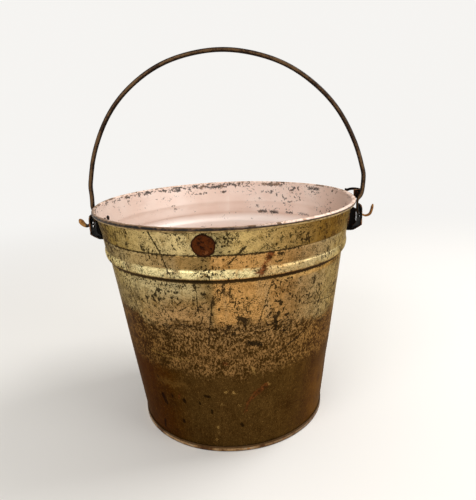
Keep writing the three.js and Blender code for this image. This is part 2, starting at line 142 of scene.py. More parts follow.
def dent_depth(azimuth, height):
    """Sum of rounded hollows: each falls off as exp(-d squared) from its middle, across and up."""
    depth = np.zeros(np.broadcast(azimuth, height).shape)
    for middle, level, wide, tall, deep in DENTS:
        across = np.radians(turn_from(middle, azimuth)) * UNROLLED_RADIUS / wide
        depth += deep * np.exp(-across ** 2 - ((height - level) / tall) ** 2)
    return depth


def gentle(azimuth, height):
    """Slow unevenness of hand-worked sheet: a few sine waves round the pail and up it."""
    turn = np.radians(azimuth)
    waves = np.sin(3 * turn + 0.7) + 0.6 * np.sin(7 * turn + height / 31)
    return 0.10 * (waves + 0.5 * np.sin(11 * turn - height / 19))


def close_poles(made):
    """Merges the points that lie on each other, where a surface runs together."""
    work = bmesh.new()
    work.from_mesh(made.data)
    bmesh.ops.remove_doubles(work, verts=work.verts, dist=2e-6)
    bmesh.ops.recalc_face_normals(work, faces=work.faces)
    work.to_mesh(made.data)
    work.free()


def piece(name, points, uv=None, slots=None, closed_u=True, closed_v=True, weld=False):
    """Mesh object from a grid of points in metres: four-sided faces between rows and columns.

    closed_u joins the last column to the first, closed_v the last row to the first. uv is a grid one
    wider where a side is closed. slots gives each row of faces its material. weld closes the poles.
    """
    rows, columns = points.shape[:2]
    face_rows = rows if closed_v else rows - 1
    face_columns = columns if closed_u else columns - 1
    i, j = np.meshgrid(np.arange(face_rows), np.arange(face_columns), indexing="ij")
    ahead, above = (j + 1) % columns, (i + 1) % rows
    corners = np.stack([i * columns + j, i * columns + ahead,
                        above * columns + ahead, above * columns + j], -1)
    mesh = bpy.data.meshes.new(name)
    mesh.vertices.add(rows * columns)
    mesh.vertices.foreach_set("co", points.reshape(-1).astype(np.float32))
    mesh.loops.add(corners.size)
    mesh.loops.foreach_set("vertex_index", corners.reshape(-1).astype(np.int32))
    mesh.polygons.add(corners.size // 4)
    mesh.polygons.foreach_set("loop_start", np.arange(0, corners.size, 4, dtype=np.int32))
    mesh.polygons.foreach_set("use_smooth", np.ones(corners.size // 4, bool))
    if slots is not None:
        mesh.polygons.foreach_set("material_index", np.repeat(slots, face_columns).astype(np.int32))
    if uv is not None:
        layer = mesh.uv_layers.new(name="sheet")
        flat = np.stack([uv[i, j], uv[i, j + 1], uv[i + 1, j + 1], uv[i + 1, j]], 2)
        layer.data.foreach_set("uv", flat.reshape(-1).astype(np.float32))
    mesh.update(calc_edges=True)
    mesh.validate()
    made = bpy.data.objects.new(name, mesh)
    bpy.context.scene.collection.objects.link(made)
    if weld:
        close_poles(made)
    return made


def turned(radius, azimuth, height):
    """A grid of places in metres, from radii and heights in millimetres and azimuths in radians."""
    return np.stack(np.broadcast_arrays(
        radius * np.cos(azimuth), radius * np.sin(azimuth), height + 0 * azimuth), -1) * MM


def make_wall():
    """The section turned about Z: radius times cosine and sine of the azimuth, less its dents."""
    section, face_count = wall_section()
    near_seam = np.arange(-SEAM_REACH, SEAM_REACH + 0.01, SEAM_STEP) / np.radians(UNROLLED_RADIUS)
    turn = np.sort(np.concatenate([near_seam % 360, np.arange(2.0, 358.1, COLUMN_STEP)]))
    azimuth = SEAM_AZIMUTH + turn
    radius, height = section[:, :1], section[:, 1:]
    off_seam = np.abs(turn_from(0, turn)) * np.radians(UNROLLED_RADIUS)
    fold = np.clip((SEAM_HALF_WIDTH - off_seam) / SEAM_SLOPE + 0.5, 0, 1)
    outside = (np.arange(len(section)) < face_count)[:, None] * (height > HEM_LINE) * (height < SEAM_TOP)
    fade = np.clip((BAND_TOP - height) / BAND_FADE, 0, 1) * np.clip((height - HEM_LINE) / HEM_FADE, 0, 1)
    radius = radius + SEAM_RAISE * fold * outside
    radius = radius - fade * dent_depth(azimuth, height) + fade * gentle(azimuth, height)
    height = height + RIM_WAVE * np.sin(np.radians(5 * azimuth)) * (height > BAND_TOP)
    along = np.append(turn, turn[0] + 360) - 180
    level = np.append(section[:, 1], section[0, 1])
    uv = np.stack(np.broadcast_arrays(
        np.radians(along) * UNROLLED_RADIUS * MM, level[:, None] * MM), -1)
    kinds = np.zeros(len(section), int)
    curl_from = face_count + BORE_POINTS - 1
    curl_to = face_count + BORE_POINTS + CURL_POINTS - PAINTED_POINTS
    kinds[curl_from:curl_to], kinds[curl_to:] = 1, 2
    return piece("pail_wall", turned(radius, np.radians(azimuth), height), uv=uv, slots=kinds)


def tone(red, green, blue):
    """A colour on the usual 0 to 255 scale, as the linear values that shaders take."""
    value = np.array([red, green, blue]) / 255
    linear = np.where(value <= 0.04045, value / 12.92, ((value + 0.055) / 1.055) ** 2.4)
    return (*linear.tolist(), 1.0)


def feed(sockets, values):
    """Gives sockets their values in turn: a Value is linked, and a number or colour is set."""
    for socket, value in zip(sockets, values):
        if isinstance(value, Value):
            socket.id_data.links.new(value.socket, socket)
        else:
            socket.default_value = tone(*value) if socket.type == "RGBA" else value


def fill(node, **inputs):
    """Gives a node's inputs their values by name, with _ for a blank."""
    feed([node.inputs[key.replace("_", " ")] for key in inputs], inputs.values())


class Value:
    """What a node gives out. The signs + - * / and abs() put a Math node behind it."""

    def __init__(self, socket):
        self.socket = socket

    def math(self, operation, *terms):
        made = self.socket.id_data.nodes.new("ShaderNodeMath")
        made.operation = operation
        feed(made.inputs, terms)
        return Value(made.outputs[0])

    def __add__(self, other):
        return self.math("ADD", self, other)

    def __radd__(self, other):
        return self.math("ADD", other, self)

    def __sub__(self, other):
        return self.math("SUBTRACT", self, other)

    def __rsub__(self, other):
        return self.math("SUBTRACT", other, self)

    def __mul__(self, other):
        return self.math("MULTIPLY", self, other)

    def __truediv__(self, other):
        return self.math("DIVIDE", self, other)

    def __abs__(self):
        return self.math("ABSOLUTE", self)

    def rise(self, start, end):
        """0 up to start, 1 from end on, and smooth between. It falls where end is below start."""
        made = self.socket.id_data.nodes.new("ShaderNodeMapRange")
        made.interpolation_type, made.clamp = "SMOOTHSTEP", False
        fill(made, Value=self, From_Min=min(start, end), From_Max=max(start, end),
             To_Min=float(start > end), To_Max=float(start < end))
        return Value(made.outputs["Result"])

    def between(self, start, full, falling, end):
        """1 from full to falling, 0 below start and above end, and smooth between."""
        return self.rise(start, full) * self.rise(end, falling)


def most(first, *others):
    """The largest of some masks."""
    for other in others:
        first = first.math("MAXIMUM", first, other)
    return first


class Shader:
    """Adds nodes to one node tree. An input is a number, a colour or a Value."""

    def __init__(self, tree):
        self.tree = tree

    def put(self, kind, output, settings=None, **inputs):
        """A node with its settings and its inputs by name, as the output that is wanted."""
        made = self.tree.nodes.new(kind)
        for key, value in (settings or {}).items():
            setattr(made, key, value)
        fill(made, **inputs)
        return Value(made.outputs[output])

    def place(self):
        return self.put("ShaderNodeTexCoord", "Object")

    def sheet(self):
        return self.put("ShaderNodeUVMap", "UV", {"uv_map": "sheet"})

    def parts(self, place):
        """The three coordinates of a place."""
        made = self.tree.nodes.new("ShaderNodeSeparateXYZ")
        feed(made.inputs, [place])
        return [Value(output) for output in made.outputs]

    def vector(self, operation, *terms):
        made = self.tree.nodes.new("ShaderNodeVectorMath")
        made.operation = operation
        feed(made.inputs, terms)
        gives_number = operation in ("LENGTH", "DISTANCE", "DOT_PRODUCT")
        return Value(made.outputs["Value" if gives_number else "Vector"])

    def stretched(self, place, along, up, deep=1.0):
        return self.vector("MULTIPLY", place, (along, up, deep))

    def noise(self, place, scale, detail=3.0, roughness=0.55, distortion=0.0):
        return self.put("ShaderNodeTexNoise", "Fac", Vector=place, Scale=scale, Detail=detail,
                        Roughness=roughness, Distortion=distortion)

    def blend(self, share, first, second, way="MIX"):
        made = self.tree.nodes.new("ShaderNodeMix")
        made.data_type, made.blend_type = "RGBA", way
        feed([made.inputs[0], made.inputs[6], made.inputs[7]], [share, first, second])
        return Value(made.outputs[2])

    def coats(self, colour, *coats):
        """Coats laid over a colour in turn, each as its share, its colour and a blend if not MIX."""
        for share, second, *way in coats:
            colour = self.blend(share, colour, second, *way)
        return colour

    def colours(self, value, stops):
        """A run of colours along a value: each stop is its place and its colour."""
        made = self.put("ShaderNodeValToRGB", "Color", Fac=value)
        band = made.socket.node.color_ramp.elements
        while len(band) < len(stops):
            band.new(0.5)
        for element, (place, colour) in zip(band, stops):
            element.position, element.color = place, tone(*colour)
        return made

    def effect(self, group, *inputs):
        """A node group's mask, with its inputs in their order."""
        made = self.tree.nodes.new("ShaderNodeGroup")
        made.node_tree = group
        feed(made.inputs, inputs)
        return Value(made.outputs[0])


def effect_group(name, vectors, numbers, build):
    """A node group with named vector and number inputs and one mask, filled in by build."""
    group = bpy.data.node_groups.new(name, "ShaderNodeTree")
    for kind, keys in (("NodeSocketVector", vectors), ("NodeSocketFloat", numbers)):
        for key in keys:
            group.interface.new_socket(key, in_out="INPUT", socket_type=kind)
    group.interface.new_socket("Mask", in_out="OUTPUT", socket_type="NodeSocketFloat")
    taken = {output.name: Value(output) for output in group.nodes.new("NodeGroupInput").outputs}
    given = group.nodes.new("NodeGroupOutput").inputs
    feed(given, [build(Shader(group), taken)])
    return group


def build_flecks(s, taken):
    """Small chips where a fine noise passes a limit, thicker where a slow noise is high."""
    fine = s.noise(taken["Place"], taken["Scale"], 3.0, 0.6, 0.3)
    slow = s.noise(taken["Place"], taken["Scale"] * 0.11, 2.0)
    return (fine + (slow - 0.5) * 0.55 + taken["Amount"] * 0.2).rise(0.725, 0.75)


def build_hairlines(s, taken):
    """Thin crawling lines where a noise crosses its middle, broken up by a second noise."""
    crawl = s.noise(taken["Place"], taken["Scale"], 3.0, 0.6, 0.8)
    patch = s.noise(taken["Place"], taken["Scale"] * 0.7, 2.0)
    return abs(crawl - 0.5).rise(0.018, 0.006) * (patch + taken["Amount"] * 0.2).rise(0.56, 0.62)


def build_stroke(s, taken):
    """The mask so far, and 1 where the distance to a straight stroke is under its half width.

    The place along the stroke is the dot product with its run over the run's length squared, kept to 0..1.
    """
    reach = s.vector("SUBTRACT", taken["Place"], taken["Start"])
    share = most(s.vector("DOT_PRODUCT", reach, taken["Run"]) * taken["Per Square"], 0.0)
    share = share.math("MINIMUM", share, 1.0)
    foot = s.put("ShaderNodeVectorMath", "Vector", {"operation": "SCALE"}, Vector=taken["Run"], Scale=share)
    level = s.vector("LENGTH", s.vector("SUBTRACT", reach, foot)) / taken["Width"]
    return most(taken["Before"], level.rise(1.0, 0.6))


FLECKS = effect_group("Flecks", ["Place"], ["Scale", "Amount"], build_flecks)
HAIRLINES = effect_group("Hairlines", ["Place"], ["Scale", "Amount"], build_hairlines)
STROKE = effect_group("Stroke", ["Place", "Start", "Run"], ["Per Square", "Width", "Before"], build_stroke)


class Finish(Shader):
    """A new material, whose node tree it fills."""

    def __init__(self, name):
        self.material = bpy.data.materials.new(name)
        self.material.use_nodes = True
        super().__init__(self.material.node_tree)

    def dress(self, colour, relief=None, strength=0.0, depth=0.0004, **inputs):
        """Sets the surface shader: its colour, its inputs by name, and a bump from a relief."""
        surface = self.tree.nodes["Principled BSDF"]
        fill(surface, Base_Color=colour, **inputs)
        if relief is not None:
            bump = self.put("ShaderNodeBump", "Normal", Strength=strength, Distance=depth, Height=relief)
            fill(surface, Normal=bump)
        return self.material


def on_sheet(azimuth, height):
    """A place on the unrolled wall, in metres, from its azimuth and its height in millimetres."""
    return (np.radians(turn_from(FRONT_AZIMUTH, azimuth)) * UNROLLED_RADIUS * MM, height * MM, 0.0)


def around(*azimuths):
    """Shares of the way round the unrolled wall, from the seam, for some azimuths."""
    return [0.5 + turn_from(FRONT_AZIMUTH, azimuth) / 360 for azimuth in azimuths]


def wall_place(s):
    """The place on the unrolled wall, its share of the way round and its height."""
    place = s.sheet()
    along, height, _ = s.parts(place)
    return place, along * (1 / (2 * np.pi * UNROLLED_RADIUS * MM)) + 0.5, height


def round_wall(s, share, at_seam, stops):
    """A run of colours round the wall: one at the seam and the others at their azimuths."""
    inner = [(*around(azimuth), colour) for azimuth, colour in stops]
    return s.colours(share, [(0.0, at_seam), *inner, (1.0, at_seam)])


def frayed(s, place, reach):
    """A place moved by a fine noise, so that what is drawn there gets a ragged edge."""
    shift = s.put("ShaderNodeTexNoise", "Color", Vector=place, Scale=800.0, Detail=3.0, Roughness=0.7)
    moved = s.vector("MULTIPLY_ADD", shift, (reach, reach, 0.0), place)
    return s.vector("SUBTRACT", moved, (reach / 2, reach / 2, 0.0))


def strokes(s, place, marks):
    """Strokes as (from azimuth, from height, to azimuth, to height, half width)."""
    found = 0.0
    for from_azimuth, from_height, to_azimuth, to_height, half_width in marks:
        start = Vector(on_sheet(from_azimuth, from_height))
        run = Vector(on_sheet(to_azimuth, to_height)) - start
        found = s.effect(STROKE, place, start, run, 1 / run.length_squared, half_width * MM, found)
    return found


GOLD, GREY_GOLD, WARM_GOLD = (192, 163, 106), (166, 152, 120), (200, 156, 104)
BEAD_HIGHLIGHT_GOLD, DENT_HIGHLIGHT_GOLD, FRESH_GOLD = (250, 232, 172), (222, 204, 152), (206, 162, 98)
WORN_SHADE, SMOKE = (143, 141, 124), (176, 158, 122)
MOTTLE_DARK, MOTTLE_LIGHT, MOTTLE_LOW = (52, 34, 8), (172, 132, 82), (150, 112, 66)
LOW_BROWN, LOW_LEFT, LOW_RIGHT = (70, 49, 20), (68, 38, 0), (106, 72, 24)
LOW_DARK, LOW_GRAIN_AND_SHEEN, LOW_SPECK = (48, 28, 4), (108, 78, 38), (140, 104, 56)
CHIP_AND_SHADE_BLACK, STAIN, PALE_GOLD = (30, 22, 11), (14, 5, 0), (190, 150, 84)
RUST_DARK, RUST_LIGHT = (50, 26, 10), (118, 60, 28)

# Tones of the gold at azimuths round the wall, below the crease and above it: partly the lacquer's own uneven
# tone and partly painted reflections of the surroundings, such as lighter and darker upright zones, an orange
# cast to the right and a dark stripe under the patch
BAND_TONES_AND_REFLECTIONS = [(-150, (136, 122, 88)), (-126, (196, 170, 112)), (-104, (222, 197, 138)), (-90, (162, 143, 96)),
              (-83, (208, 178, 114)), (-62, (160, 128, 74)), (-44, (128, 96, 48)), (-15, (166, 145, 100))]
UPPER_TONES_AND_REFLECTIONS = [(-146, (166, 155, 128)), (-128, (190, 164, 114)), (-106, (164, 130, 78)),
               (-94.5, (140, 112, 66)), (-92, (204, 154, 90)), (-74, (198, 150, 88)),
               (-60, (156, 118, 70)), (-32, (188, 168, 126))]

# Dark strokes scratched through the gold
DARK_STROKES = [
    (-116.4, 227, -113, 209, 0.9), (-113, 209, -110.7, 193, 0.7),
    (-69, 180, -75.6, 135, 0.45), (-93.4, 170, -94.6, 156, 0.8),
    (-94.6, 156, -97.4, 120, 0.6), (-80.2, 213, -83, 207, 1.2),
    (-83.4, 206, -86.6, 199, 0.9), (-72.5, 214, -66, 203, 0.4),
    (-71, 215, -77, 205, 0.3), (-104, 140, -86, 136, 0.35),
    (-86, 136, -72, 131, 0.3), (-60, 112, -50, 121, 0.7),
    (-66, 106, -54, 116, 0.5), (-97, 228.4, -94, 225.2, 1.0),
    (-24, 139, -52, 149, 0.4), (-54.9, 218, -52.9, 208, 0.7),
    (-57, 213, -54, 211, 0.8), (-109.3, 160, -107.3, 163, 0.9),
    (-108.8, 154, -105, 158.5, 0.7), (-100.2, 168, -100.3, 157, 0.7),
    (-101.9, 152, -99.2, 161, 0.6), (-98.4, 150, -99.6, 143, 0.7),
    (-117.5, 158, -112.5, 143, 0.4), (-112.5, 143, -104, 139, 0.4),
    (-134.3, 156, -131.5, 139, 0.6), (-151, 186, -148, 166, 0.8),
    (-147, 206, -143, 198, 0.9), (-144.6, 221, -137, 212, 0.7),
    (-135.4, 222, -136.9, 212, 0.8),
]
DARK_SPOTS = [
    (-129.7, 210.6, -129.3, 212.8, 2.1), (-121.2, 210.8, -121.0, 212.2, 2.1),
    (-83.6, 147.5, -80, 146, 2.6), (-81.6, 144, -80.4, 142, 2.0),
    (-78.8, 153, -78.4, 152, 1.2), (-88.4, 140, -87.4, 139, 2.2),
    (-66.8, 144, -66.9, 141, 2.0), (-93.6, 166, -94, 162, 2.2),
    (-91.6, 167, -91, 166.6, 1.5), (-79, 122, -74, 119, 3.0),
    (-89.5, 180, -88.9, 172, 1.4), (-86.1, 177, -87.0, 170, 1.5),
    (-86.3, 221.5, -84.2, 220.8, 1.3), (-86.6, 216.2, -85.4, 217.2, 1.1),
    (-83.3, 225, -82.6, 223, 0.8), (-82.9, 218.9, -82.2, 217, 0.9),
    (-109.8, 226.6, -101, 225.6, 0.8), (-60, 224, -55, 222.8, 0.8),
    (-46.6, 173, -46.8, 167, 1.8),
]
RUST_MARKS = [
    (-70.4, 204.4, -71.2, 201.4, 3.1), (-72, 199, -72.8, 196.4, 1.2),
    (-73, 193.6, -74.4, 189.4, 3.3), (-76, 190.4, -76.6, 188.6, 1.3),
    (-91, 101.6, -89.4, 101, 1.3), (-70.6, 73.5, -76.2, 66, 3.2),
    (-76.8, 65, -80.2, 57, 2.2), (-80.4, 54, -81.4, 47, 1.6),
    (-116, 62, -117, 58, 1.6),
]
STAIN_SPOTS = [
    (-128.4, 54, -126.6, 46, 3.0), (-113.8, 56.6, -113.6, 55.2, 2.6),
    (-116.2, 31, -116, 29.4, 2.4), (-131.6, 21, -132.6, 12, 2.0),
    (-101.4, 65.6, -99.4, 64.6, 1.9), (-121.4, 58.6, -121, 57, 1.5),
    (-104.8, 57, -104.6, 55, 1.2), (-98.8, 49, -98.8, 46, 1.4),
    (-83.8, 32, -83.2, 30.6, 2.1), (-129.6, 76.4, -129.2, 75, 1.4),
]
PALE_MARKS = [
    (-78.4, 96, -76.4, 88, 0.6), (-91.4, 70.2, -90.4, 70.6, 0.8),
    (-87.4, 69, -86.6, 68.6, 0.9), (-84.4, 54.8, -84.2, 54, 0.8),
    (-69.8, 75, -69.2, 74, 1.1), (-96.6, 30, -96.4, 28.6, 0.8),
    (-96.3, 22.6, -96, 21.6, 0.7), (-97.8, 14, -97.7, 12.6, 0.9),
    (-93.4, 57, -93.2, 56, 0.7), (-130, 104.7, -107, 102.8, 0.4),
]


def gilt_outside():
    """Gold lacquer on tinplate: pale and chipped above, mottled lower down, stained dark at the foot."""
    s = Finish("gilt_outside")
    place, share, height = wall_place(s)
    cloud = s.noise(place, 16.0)
    smear = s.noise(s.stretched(place, 60.0, 9.0), 1.0, 3.0, 0.6)
    fine = s.noise(place, 330.0, 4.0, 0.7)
    tiny = s.noise(place, 980.0, 3.0, 0.7)

    wander = share + (cloud - 0.5) * 0.012
    band = round_wall(s, wander, GOLD, BAND_TONES_AND_REFLECTIONS)
    upper = round_wall(s, wander, GOLD, UPPER_TONES_AND_REFLECTIONS)
    # Painted highlight: paler gold on a slight bulge left of the front, just under the ledge
    dent_highlight = height.between(0.160, 0.177, 0.1795, 0.1822) * share.rise(*around(-92, -104))
    # Painted highlight: the bead's upper face in pale gold where it catches the light, broken up by a slow
    # noise and weaker to the right of the front
    dulled = s.noise(place, 55.0).rise(0.34, 0.5)
    bead_highlight = height.between(0.1855, 0.1872, 0.1932, 0.1950) * dulled
    bead_highlight = bead_highlight * most(share.rise(*around(-70, -78)), 0.35)
    fresh = share.between(*around(-68, -62, -30, -20)) * height.between(0.176, 0.179, 0.1812, 0.1822)
    warm = (height + (cloud - 0.5) * 0.06).rise(0.170, 0.150) * share.between(*around(-136, -120, -98, -92))
    smoke = s.noise(place, 110.0, 4.0, 0.7).rise(0.50, 0.68)
    worn_thin = (fine * 0.55 + tiny * 0.45).rise(0.56, 0.38)
    gold = s.coats(
        s.blend(height.rise(0.2060, 0.2068), upper, band),
        (dent_highlight * cloud.rise(0.3, 0.55) * 0.7, DENT_HIGHLIGHT_GOLD),
        (bead_highlight * 0.95, BEAD_HIGHLIGHT_GOLD),
        (smear.rise(0.5, 0.75) * 0.3, GREY_GOLD),
        (fresh * 0.8, FRESH_GOLD),
        (warm * 0.6, WARM_GOLD),
        (smoke * 0.6, SMOKE, "MULTIPLY"),
        (worn_thin * 0.65, WORN_SHADE, "MULTIPLY"))

    depth = height + ((cloud - 0.5) * 0.05 + (smear - 0.5) * 0.03 + (fine - 0.5) * 0.02)
    mottled = (depth + share.rise(*around(-75, -30)) * 0.012).rise(0.146, 0.135)
    on_left = share.rise(*around(-108, -124))
    dashes = s.noise(s.stretched(place, 1.0, 0.62), 560.0, 4.0, 0.72, 0.5)
    blotch = s.noise(place, 85.0, 4.0, 0.65)
    speck = dashes + (blotch - 0.5) * 0.45 + (tiny - 0.5) * 0.4 - on_left * 0.03
    light = s.blend(height.rise(0.108, 0.136), MOTTLE_LOW, MOTTLE_LIGHT)
    mottle = s.blend(speck.rise(0.42, 0.66), MOTTLE_DARK, light)

    low_edge = height + (cloud - 0.5) * 0.016 + (smear + fine - 1.0) * 0.024
    streaks = s.noise(s.stretched(place, 150.0, 16.0), 1.0, 4.0, 0.65)
    clouds = s.noise(place, 34.0, 4.0, 0.62)
    glow = share.between(*around(-48, -34, -26, -14)) * height.rise(0.085, 0.045)
    # Painted highlight: a soft pale sheen along a low horizontal ridge on the left, in the same colour as the
    # grain
    sheen_ridge = low_edge.between(0.067, 0.072, 0.073, 0.078) * share.between(*around(-134, -127, -112, -104))
    brown = s.coats(
        s.blend(on_left, LOW_BROWN, LOW_LEFT),
        (glow * 0.7, LOW_RIGHT),
        (sheen_ridge * 0.55, LOW_GRAIN_AND_SHEEN),
        (clouds.rise(0.47, 0.66) * 0.55, LOW_DARK),
        (streaks.rise(0.50, 0.70) * 0.25, LOW_GRAIN_AND_SHEEN),
        (speck.rise(0.53, 0.66) * 0.35, LOW_GRAIN_AND_SHEEN),
        ((tiny + fine * 0.5).rise(0.85, 0.91) * 0.5, LOW_SPECK),
        (speck.rise(0.46, 0.36) * 0.6, LOW_DARK))
    stain = s.blend(low_edge.rise(0.095, 0.083), mottle, brown)

    hairy = height.between(0.118, 0.132, 0.158, 0.181) * 0.9
    hairlines = s.effect(HAIRLINES, place, 210.0, 0.55) * hairy
    flecks = s.effect(FLECKS, s.stretched(place, 1.0, 0.62), 520.0, 0.62)
    small_flecks = s.effect(FLECKS, place, 1150.0, 0.68)
    big_flecks = s.effect(FLECKS, s.stretched(place, 1.0, 0.8), 250.0, 0.54) * height.rise(0.184, 0.180)
    at_sides = most(share.rise(*around(-124, -140)), share.rise(*around(-50, -36)) * 0.7)
    side_flecks = s.effect(FLECKS, s.stretched(place, 1.6, 0.6), 300.0, 0.85) * at_sides
    chips = most(flecks, small_flecks, big_flecks, side_flecks) * depth.rise(0.116, 0.134)

    lightly, roughly = frayed(s, place, 0.004), frayed(s, place, 0.011)
    ragged = s.parts(lightly)[1]
    # Painted shade: a near-black line under the bead's ledge, a broken dark line in the crease and a dark
    # line just under the curl, all laid on in the chips' black
    ledge_shadow = ragged.between(0.1808, 0.1815, 0.1852, 0.1858)
    crease = ragged.between(0.2053, 0.2059, 0.2069, 0.2075) * s.noise(place, 90.0, 2.0).rise(0.28, 0.4)
    crease = crease * most(share.rise(*around(-54, -60)), 0.25)
    shadow_under_rim = ragged.rise(0.2264, 0.2270)
    # The real chips, scratches and spots, together with these painted shade lines
    dark_chips_and_shade = most(chips, hairlines, ledge_shadow, crease, shadow_under_rim,
                strokes(s, lightly, DARK_STROKES), strokes(s, roughly, DARK_SPOTS))
    rust = strokes(s, roughly, RUST_MARKS) * (0.55 + height.rise(0.10, 0.12) * 0.37)
    colour = s.coats(
        s.blend(mottled, gold, stain),
        (strokes(s, lightly, STAIN_SPOTS) * (1.3 - fine), STAIN),
        (strokes(s, roughly, PALE_MARKS) * 0.6, PALE_GOLD),
        (dark_chips_and_shade * 0.93, CHIP_AND_SHADE_BLACK),
        (rust, s.blend(fine.rise(0.4, 0.6), RUST_DARK, RUST_LIGHT)))
    worn = most(mottled, dark_chips_and_shade, rust)
    rough = 0.34 + worn * 0.14 + bead_highlight * 0.08 + (cloud - 0.5) * 0.16
    return s.dress(colour, fine, 0.35, Metallic=0.85 - worn * 0.15, Specular_IOR_Level=0.04,
                   Specular_Tint=(190, 165, 120), Roughness=rough)


def rim_curl():
    """The curl: brown iron where lacquer and paint are rubbed off, its dark middle partly painted shade and
    its tan top edge painted light; pale pink where paint is left on its inner side, and a painted highlight
    on its top at the front right.
    """
    s = Finish("rim_curl")
    place = s.place()
    x, y, z = s.parts(place)
    rubbed = s.noise(place, 190.0, 4.0, 0.65)
    slow = s.noise(place, 34.0, 3.0, 0.6)
    radius = s.vector("LENGTH", s.stretched(place, 1.0, 1.0, 0.0))
    front_right = x.rise(0.0, 0.06) * y.rise(0.0, -0.02)
    level = z + (rubbed - 0.5) * 0.0022 - front_right * 0.0004
    # Painted light and shade: the dark brown across the curl is partly painted shade, the tan band along its
    # top is painted light, and the gold below is the wall's lacquer
    brown = s.coats(
        s.blend(rubbed.rise(0.44, 0.60), (24, 16, 8), (70, 50, 34)),
        (level.rise(0.2306, 0.2312) * 0.75, (140, 108, 80)),
        (level.rise(0.2291, 0.2286), s.blend(rubbed.rise(0.4, 0.6), (104, 80, 40), (182, 152, 96))))
    pale = s.blend(rubbed.rise(0.35, 0.55), (176, 138, 112), (236, 208, 190))
    chipped = slow + (rubbed - 0.5) * 1.1 + y.rise(0.02, -0.06) * 0.10 - front_right * 0.16
    # Where the pale shows: the pink paint on the curl's inner side, and a painted highlight on its top at the
    # front right
    paint_and_highlight = most(radius.rise(0.1326, 0.1314), front_right * z.rise(0.2300, 0.2308))
    return s.dress(s.blend(paint_and_highlight * chipped.rise(0.58, 0.53), brown, pale), rubbed, 0.4,
                   Metallic=0.15, Specular_IOR_Level=0.2, Roughness=0.5)


PINK, PINK_LIGHT, PINK_SHADE = (243, 213, 196), (252, 230, 216), (212, 176, 156)
PINK_LIT, GRIME = (255, 242, 233), (140, 98, 70)
CHIP_BLACK, CHIP_BROWN = (34, 31, 27), (116, 86, 58)

# Shading of the paint at azimuths round the inside
UNSHADED = (255, 255, 255)
INSIDE_SHADES = [(125, (252, 252, 252)), (168, (226, 224, 222)), (-150, (214, 212, 210)),
                 (-60, (214, 212, 210)), (8, (196, 190, 184)), (24, (216, 212, 208)), (45, (247, 247, 247))]

# Chips in the hollow of the bead, at the crease and along the painted edge under the rim
INSIDE_CHIPS = [
    (72, 193.5, 67.5, 193.6, 2.0), (64, 193.2, 60.5, 193.5, 2.3),
    (54, 194, 50.5, 194.2, 1.6), (46, 194.4, 38, 194.8, 0.7),
    (73, 201, 72.6, 200.4, 1.4), (71.6, 210.3, 71.2, 210, 1.2),
    (174, 229, 172, 229, 1.3), (154, 223.6, 153.4, 223.4, 1.2),
    (162, 228, 160, 227.6, 1.0), (-170, 226.8, -171, 226.4, 1.2),
    (100, 225.8, 94, 226.2, 2.2), (70, 228, 58, 228, 1.5),
    (40, 226.4, 33, 226.2, 1.9),
]


def pink_inside():
    """Pink house paint, brushed on by hand: chipped along the rim and the bead, dirty in its low places."""
    s = Finish("pink_inside")
    place, share, height = wall_place(s)
    cloud = s.noise(place, 22.0)
    fine = s.noise(place, 420.0, 4.0, 0.65)
    sweep = s.noise(s.stretched(place, 18.0, 110.0), 1.0, 3.0, 0.6)
    behind = most(share.rise(0.84, 0.92), share.rise(0.27, 0.13), 0.35)
    near_rim = height.rise(0.2215, 0.2272) * behind
    line = height.between(0.2150, 0.2185, 0.2190, 0.2225) * behind
    blobs = s.noise(place, 230.0, 5.0, 0.74) + (s.noise(place, 50.0, 2.0) - 0.5) * 0.5
    rim_chips = (blobs + near_rim * 0.165).rise(0.68, 0.70)
    line_chips = (blobs + line * 0.12).rise(0.68, 0.71)
    specks = s.effect(FLECKS, place, 420.0, 0.16)
    right_specks = s.effect(FLECKS, place, 300.0, 0.42) * height.rise(0.190, 0.2)
    right_specks = right_specks * share.between(*around(14, 20, 76, 82))
    knocked = strokes(s, frayed(s, place, 0.011), INSIDE_CHIPS)
    chips = most(rim_chips, line_chips, specks, right_specks, knocked)
    chip_tone = s.blend(s.noise(place, 80.0, 2.0).rise(0.5, 0.66), CHIP_BLACK, CHIP_BROWN)
    colour = s.coats(
        s.blend(cloud.rise(0.3, 0.7), PINK, PINK_LIGHT),
        (sweep.rise(0.52, 0.75) * 0.3, PINK_SHADE),
        (height.between(0.170, 0.180, 0.186, 0.194) * 0.7, PINK_LIT),
        (1.0, round_wall(s, share, UNSHADED, INSIDE_SHADES), "MULTIPLY"),
        (chips * 0.92, chip_tone),
        (height.rise(0.06, 0.0) * cloud.rise(0.3, 0.6) * 0.55, GRIME))
    return s.dress(colour, sweep * 0.5 - chips + fine * 0.25, 0.4, Roughness=0.42 + chips * 0.25)


wall = make_wall()
for finish in (gilt_outside(), rim_curl(), pink_inside()):
    wall.data.materials.append(finish)
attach(wall, "pail")
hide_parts("body_wall")


# Bottom: a flat tinplate disc whose edge drops to the floor and folds up round the wall's foot.
# The fold is rubbed bare outside, and the floor inside is painted with the wall.
HEM_RADIUS, HEM_HEIGHT, HEM_CORNER = 100.2, 5.3, 0.4
PAN_TOP, PAN_UNDER = 5.0, 4.4
GROOVE_IN, GROOVE_OUT = 97.8, 99.0
PAN_BULGE, PAN_SAG, HEM_WAVE = 0.5, 0.4, 0.08
FLOOR_ROWS = 98


